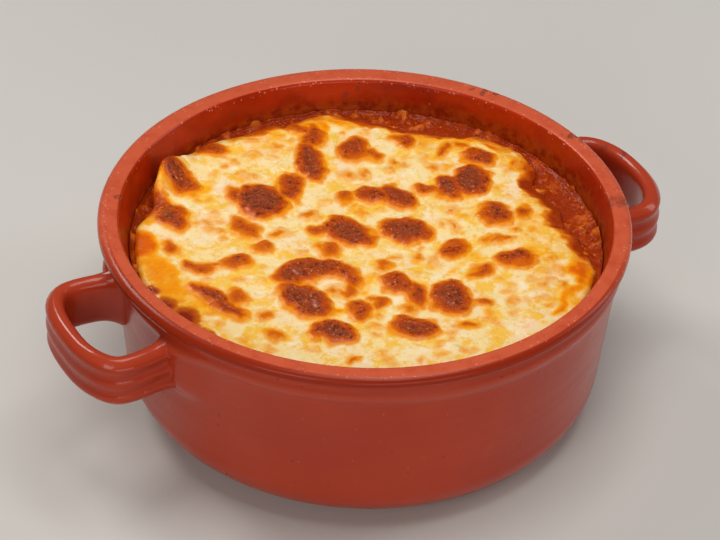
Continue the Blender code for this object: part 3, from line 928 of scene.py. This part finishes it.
def cheese_fields(x, y):
    """Browning, golden halo, oil stain, blister height and distance from the edge, at places on the sheet."""
    wx, wy = warped(x, y)
    brown, gold, rise = (np.zeros(np.shape(x)) for _ in range(3))
    for patch in BLISTERS + golden_spots():
        dark, width = patch[5], patch[3]
        depth = patch_depth(wx, wy, patch)
        brown = np.maximum(brown, dark * np.clip((depth + 0.6) / 3.8, 0, 1) ** 0.85)
        gold = np.maximum(gold, (0.45 + 0.55 * dark) * smooth(depth, -3.0, 0.2))
        reach = np.hypot(*in_patch(wx, wy, patch))
        dome = np.sqrt(np.clip(1 - (reach / BLISTER_SKIRT) ** 2, 0, 1))
        rise = np.maximum(rise, dome * min(1.0, width / BLISTER_FULL_WIDTH))
    oil = np.zeros(np.shape(x))
    stain_x = x + 3 * lattice(x, y, 7, 71) + 1.2 * lattice(x, y, 2.6, 76)
    stain_y = y + 3 * lattice(x, y, 7, 72)
    for patch in STAINS:
        depth = patch_depth(stain_x, stain_y, patch)
        oil = np.maximum(oil, patch[5] * smooth(depth, -3.0, 3.5))
    angles = np.arctan2(y, x)
    from_edge = frayed_edge(angles) - np.hypot(x, y)
    rim = smooth(from_edge + 2.6 * lattice(x, y, 8, 73), 6.0, 0.0) * (0.5 + 0.4 * lattice(x, y, 11, 74))
    oil = np.clip(np.maximum(oil, rim), 0, 1)
    halo = smooth(gold, 0.3, 0.9) * smooth(lattice(x, y, 6.0, 75), 0.0, 0.8)
    oil = np.maximum(oil, 0.6 * halo)
    return brown, gold, oil, rise, from_edge


def disc_grid(cells):
    """Square grid points bent onto a unit disc, row by row: share of the radius and direction."""
    side = np.linspace(-1, 1, cells + 1)
    a, b = np.meshgrid(side, side, indexing="ij")
    wide = np.abs(a) > np.abs(b)
    safe_a, safe_b = np.where(a == 0, 1, a), np.where(b == 0, 1, b)
    share = np.where(wide, a, b)
    turn = np.where(wide, math.pi / 4 * b / safe_a, math.pi / 2 - math.pi / 4 * a / safe_b)
    turn = np.where((a == 0) & (b == 0), 0.0, turn)
    turn = np.where(share < 0, turn + math.pi, turn)
    return np.abs(share), turn


def sheet_height(x, y, radius, share, free, brown, rise, from_edge):
    """The sheet's upper face: its thickness, waves, blisters, wrinkles and the curled corner."""
    thin = np.sqrt(np.clip(1 - share**SHEET_FALL, 0, 1))
    lip = np.sqrt(np.clip(1 - (1 - np.clip(from_edge / 1.4, 0, 1)) ** 2, 0, 1))
    taper = lip + (smooth(from_edge, -0.5, 7.0) ** 0.7 - lip) * free
    full = CHEESE_EDGE_THICKNESS + (CHEESE_THICKNESS - CHEESE_EDGE_THICKNESS) * thin
    waves = 0.75 * rough(x, y, 13, 81) + 0.25 * rough(x, y, 3.4, 82)
    crust = smooth(brown, 0.2, 0.9)
    wrinkles = crust * (0.30 * rough(x, y, 1.9, 83, 2) - 0.25 * smooth(brown, 0.7, 1.0))
    fold = fold_rise(x, y)
    height = bed_height(radius) + GAP + full * (0.2 + 0.8 * taper) + waves * thin * (0.3 + 0.7 * taper)
    height += BLISTER_RISE * rise * thin**0.5 + wrinkles + FOLD_HEIGHT * fold * (1 - share**60) ** 0.5
    height += 0.35 * fold * rough(x, y, 3.0, 84)
    return height - 0.35 * smooth(rough(x, y, 5.0, 85), 0.25, 0.9) * (1 - crust) * thin


def sheet_body(tops, cells):
    """Points and faces of the sheet: its upper face, and three rings and a face that close it below."""
    size = cells + 1
    index = np.arange(size * size).reshape(size, size)
    corners = [index[:-1, :-1], index[1:, :-1], index[1:, 1:], index[:-1, 1:]]
    border = np.concatenate([index[:-1, 0], index[-1, :-1], index[:0:-1, -1], index[0, :0:-1]])
    faces = [tuple(face) for face in np.stack(corners, axis=-1).reshape(-1, 4).tolist()]
    points = [tops]
    previous, base = border, len(tops)
    for inset in (1.0, 0.93, 0.75):
        ring = tops[border]
        ring[:, :2] *= inset
        ring[:, 2] = bed_height(np.hypot(ring[:, 0], ring[:, 1])) + GAP * 0.7
        points.append(ring)
        current = np.arange(base, base + len(ring))
        band = [previous, current, np.roll(current, -1), np.roll(previous, -1)]
        faces += [tuple(face) for face in np.stack(band, axis=-1).tolist()]
        previous, base = current, base + len(ring)
    return np.concatenate(points), faces + [tuple(previous.tolist())]


def burnt_fringe(angles, from_edge):
    burnt = np.zeros(angles.shape)
    for degrees, half_width, depth in BURNT_FRINGE:
        beside = turn_apart(angles, math.radians(degrees)) / math.radians(half_width)
        inwards = smooth(from_edge, depth + 1.2, depth * 0.3)
        burnt = np.maximum(burnt, np.exp(-(beside**2)) * inwards)
    return burnt


def make_cheese():
    finish = cheese_material()
    cells = 292
    share, angles = disc_grid(cells)
    radius = frayed_edge(angles) * share
    x, y = radius * np.cos(angles), radius * np.sin(angles)
    free = free_edge(angles)
    brown, gold, oil, rise, from_edge = cheese_fields(x, y)
    height = sheet_height(x, y, radius, share, free, brown, rise, from_edge)
    tops = np.stack([x, y, height], axis=-1).reshape(-1, 3)
    points, faces = sheet_body(tops, cells)
    made = new_object("cheese_melted", points, faces)
    face_outwards(made)
    mesh = made.data
    mesh.materials.append(finish)
    ragged = 2.4 * lattice(x, y, 5.5, 86) + 1.2 * lattice(x, y, 2.2, 87)
    thin = smooth(from_edge + ragged, 9.0, 0.4) * free
    burnt = burnt_fringe(angles, from_edge + 0.5 * ragged)
    below = np.zeros(len(mesh.vertices) - len(tops))
    fields = {"brown": brown, "gold": gold, "oil": oil, "thin": thin, "burnt": burnt}
    for name, values in fields.items():
        store(mesh, name, np.concatenate([values.ravel(), below]))
    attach(made, "root")
    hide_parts("cheese")


def food_ring(angles, radius, height):
    """One ring of points; radius and height are numbers, or one number for each direction."""
    height = np.broadcast_to(height, angles.shape)
    return np.stack([radius * np.cos(angles), radius * np.sin(angles), height], axis=1)


def sauce_height(x, y, radius, share):
    """Lumpy top of the bare sauce, a little raised against the wall."""
    lumps = smooth(rough(x, y, 3.0, 95, 2), -0.1, 0.75)
    rise = 1.3 * lumps + 0.5 * rough(x, y, 7.0, 96) + 0.25 * rough(x, y, 1.3, 97, 2)
    return bed_height(radius) - 0.4 + rise * smooth(share, 0.0, 0.25) + 0.9 * smooth(share, 0.86, 1.0), lumps


def make_filling():
    finish = sauce_material()
    around = 900
    angles = np.arange(around) * math.tau / around
    edge, wall = frayed_edge(angles) - 3.0, inner_radius(FILL_LEVEL) - 0.25
    rings, lump_rows, wet_rows = [], [], []
    plain = np.zeros(around)
    for share in (0.3, 0.7, 0.95):
        rings.append(food_ring(angles, edge * share, bed_height(edge * share) - 0.6))
        lump_rows.append(plain)
        wet_rows.append(plain)
    for share in np.linspace(0, 1, 27):
        radius = edge + (wall - edge) * share
        x, y = radius * np.cos(angles), radius * np.sin(angles)
        height, lumps = sauce_height(x, y, radius, share)
        rings.append(food_ring(angles, radius, height))
        lump_rows.append(lumps)
        wet_rows.append(np.full(around, smooth(share, 0.8, 1.0)))
    foot = INNER_FOOT_RADIUS - GAP
    knee = ((foot, FLOOR_THICKNESS + INNER_KNEE), (foot - 3.8, 12.0), (foot - 13.0, FLOOR_THICKNESS + 0.4))
    for radius, z in knee:
        rings.append(food_ring(angles, radius, z))
        lump_rows.append(plain)
        wet_rows.append(plain)
    made = rings_body("filling_sauce", rings)
    mesh = made.data
    mesh.materials.append(finish)
    store(mesh, "lump", np.concatenate(lump_rows))
    store(mesh, "wet", np.concatenate(wet_rows))
    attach(made, "root")
    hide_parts("filling")


def crumb_shape(name, seed):
    """One lumpy crumb about 1 mm in radius, the form that is scattered."""
    mesh = bpy.data.meshes.new(name)
    shape = bmesh.new()
    bmesh.ops.create_icosphere(shape, subdivisions=2, radius=1.0)
    for vert in shape.verts:
        x, y, z = vert.co
        bump = 1 + 0.28 * float(lattice(x * 1.4 + z, y * 1.4 - z, 1.0, seed))
        vert.co = Vector((x * bump, y * bump, z * bump * 0.75)) * MM
    shape.to_mesh(mesh)
    shape.free()
    mesh.shade_smooth()
    made = bpy.data.objects.new(name, mesh)
    bpy.context.scene.collection.objects.link(made)
    made.hide_render = True
    return made


def scatter(name, points, faces, form, seed, finish):
    """Crumbs of one kind laid on a carrier surface by geometry nodes, as one piece."""
    made = new_object(name, points, faces)
    grow = Growth(f"scatter_{name}")
    crumb = grow.input("Crumb", "Object", form)
    amount = grow.input("Density", "Float", CRUMB_DENSITY)
    start = grow.input("Seed", "Int", seed)
    smallest = grow.input("Smallest", "Float", CRUMB_SIZES[0])
    largest = grow.input("Largest", "Float", CRUMB_SIZES[1])
    depth = grow.input("Sink", "Float", CRUMB_SINK * MM)
    carrier = {"Mesh": grow.inputs.outputs["Geometry"], "Density": amount, "Seed": start}
    spread = grow.outlets("GeometryNodeDistributePointsOnFaces", links=carrier)
    size = grow.node("FunctionNodeRandomValue", {"data_type": "FLOAT"}, {2: smallest, 3: largest}, 1)
    spin = grow.node("FunctionNodeRandomValue", {"data_type": "FLOAT_VECTOR"}, {1: CRUMB_TURNS})
    form_mesh = grow.node("GeometryNodeObjectInfo", links={"Object": crumb}, output=4)
    below = {0: spread["Normal"], "Scale": depth}
    offset = grow.node("ShaderNodeVectorMath", {"operation": "SCALE"}, below)
    place = {"Geometry": spread["Points"], "Offset": offset}
    sunk = grow.node("GeometryNodeSetPosition", links=place)
    crumbs = {"Points": sunk, "Instance": form_mesh, "Rotation": spin, "Scale": size}
    placed = grow.node("GeometryNodeInstanceOnPoints", links=crumbs)
    grow.apply(made, placed, finish)
    made.data.shade_smooth()
    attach(made, "root")
    bpy.data.objects.remove(form, do_unlink=True)
    return made


def sauce_strip():
    """The bare sauce between cheese and wall, as a carrier for its crumbs."""
    around, steps = 720, 8
    angles = np.arange(around) * math.tau / around
    edge, wall = frayed_edge(angles) + 0.4, inner_radius(FILL_LEVEL) - 1.2
    rings = []
    for share in np.linspace(0, 1, steps):
        radius = edge + (wall - edge) * share
        x, y = radius * np.cos(angles), radius * np.sin(angles)
        height, _ = sauce_height(x, y, radius, (radius - edge + 3.4) / (wall - edge + 4.6))
        rings.append(food_ring(angles, radius, height))
    wide = (wall - edge) > 1.2
    faces = [face for face in band_faces(steps, around) if wide[face[0] % around] and wide[face[2] % around]]
    return np.concatenate(rings), faces


def make_scatters():
    points, faces = sauce_strip()
    meat = crumb_material("meat_crumb", colour(150, 54, 6), colour(204, 112, 36))
    scatter("meat_crumbs", points, faces, crumb_shape("meat_form", 5), 12, meat)


# Studio


def make_studio():
    reach = FLOOR_REACH
    corners = [(-reach, -reach, 0), (reach, -reach, 0), (reach, reach, 0), (-reach, reach, 0)]
    floor = new_object("floor", corners, [(0, 1, 2, 3)])
    net = Net("pale_floor")
    shade = net.mix(colour(206, 204, 200), colour(200, 198, 194), net.noise(160, 2).step(-0.8, 0.8))
    floor.data.materials.append(net.finish(shade, 0.75))
    # name, place, aimed at, size, watts, colour
    for name, place, target, size, power, tint in (
        ("key", (-0.30, 0.80, 0.90), (0, 0, 0.05), (0.45, 0.30), 4.8, (1.0, 0.97, 0.92)),
        ("top", (0.05, -0.10, 1.10), (0, 0, 0.05), (0.60, 0.60), 6.2, (1.0, 0.98, 0.95)),
        ("left_front", (-0.90, -0.60, 0.60), (0, 0, 0.04), (0.50, 0.50), 3.3, (1.0, 0.97, 0.93)),
        ("low_front", (-0.20, -1.05, 0.25), (0, 0, 0.02), (0.90, 0.30), 2.9, (1.0, 0.97, 0.93)),
        ("right_side", (0.95, -0.25, 0.50), (0, 0, 0.04), (0.30, 0.70), 2.2, (1.0, 0.98, 0.96)),
    ):
        lamp = bpy.data.lights.new(name, "AREA")
        lamp.shape = "RECTANGLE"
        lamp.size, lamp.size_y = size
        lamp.energy = power
        lamp.color = tint
        made = bpy.data.objects.new(name, lamp)
        made.location = place
        made.rotation_euler = (Vector(target) - Vector(place)).to_track_quat("-Z", "Y").to_euler()
        bpy.context.scene.collection.objects.link(made)
    world = bpy.data.worlds.new("studio")
    world.use_nodes = True
    world.node_tree.nodes["Background"].inputs[0].default_value = (1.0, 0.98, 0.96, 1.0)
    world.node_tree.nodes["Background"].inputs[1].default_value = 0.10
    bpy.context.scene.world = world


def make_camera():
    target = Vector((0, 0, DISH_HEIGHT * MM))
    back = Vector((
        math.sin(CAMERA_TURN) * math.cos(CAMERA_RISE),
        -math.cos(CAMERA_TURN) * math.cos(CAMERA_RISE),
        math.sin(CAMERA_RISE),
    ))
    level = Vector((math.cos(CAMERA_TURN), math.sin(CAMERA_TURN), 0))
    upright = back.cross(level)
    right = level * math.cos(CAMERA_ROLL) + upright * math.sin(CAMERA_ROLL)
    up = upright * math.cos(CAMERA_ROLL) - level * math.sin(CAMERA_ROLL)
    lens = bpy.data.cameras.new("photo_camera")
    lens.lens, lens.sensor_width = CAMERA_LENS, 36.0
    lens.shift_x, lens.shift_y = CAMERA_SHIFT
    lens.clip_start, lens.clip_end = 0.05, 20.0
    made = bpy.data.objects.new("photo_camera", lens)
    place = Matrix((right, up, back)).transposed().to_4x4()
    place.translation = target + back * CAMERA_DISTANCE
    made.matrix_world = place
    bpy.context.scene.collection.objects.link(made)
    bpy.context.scene.camera = made


bpy.context.scene.view_settings.view_transform = "Standard"
make_camera()
make_studio()
make_dish()
make_filling()
make_cheese()
make_scatters()
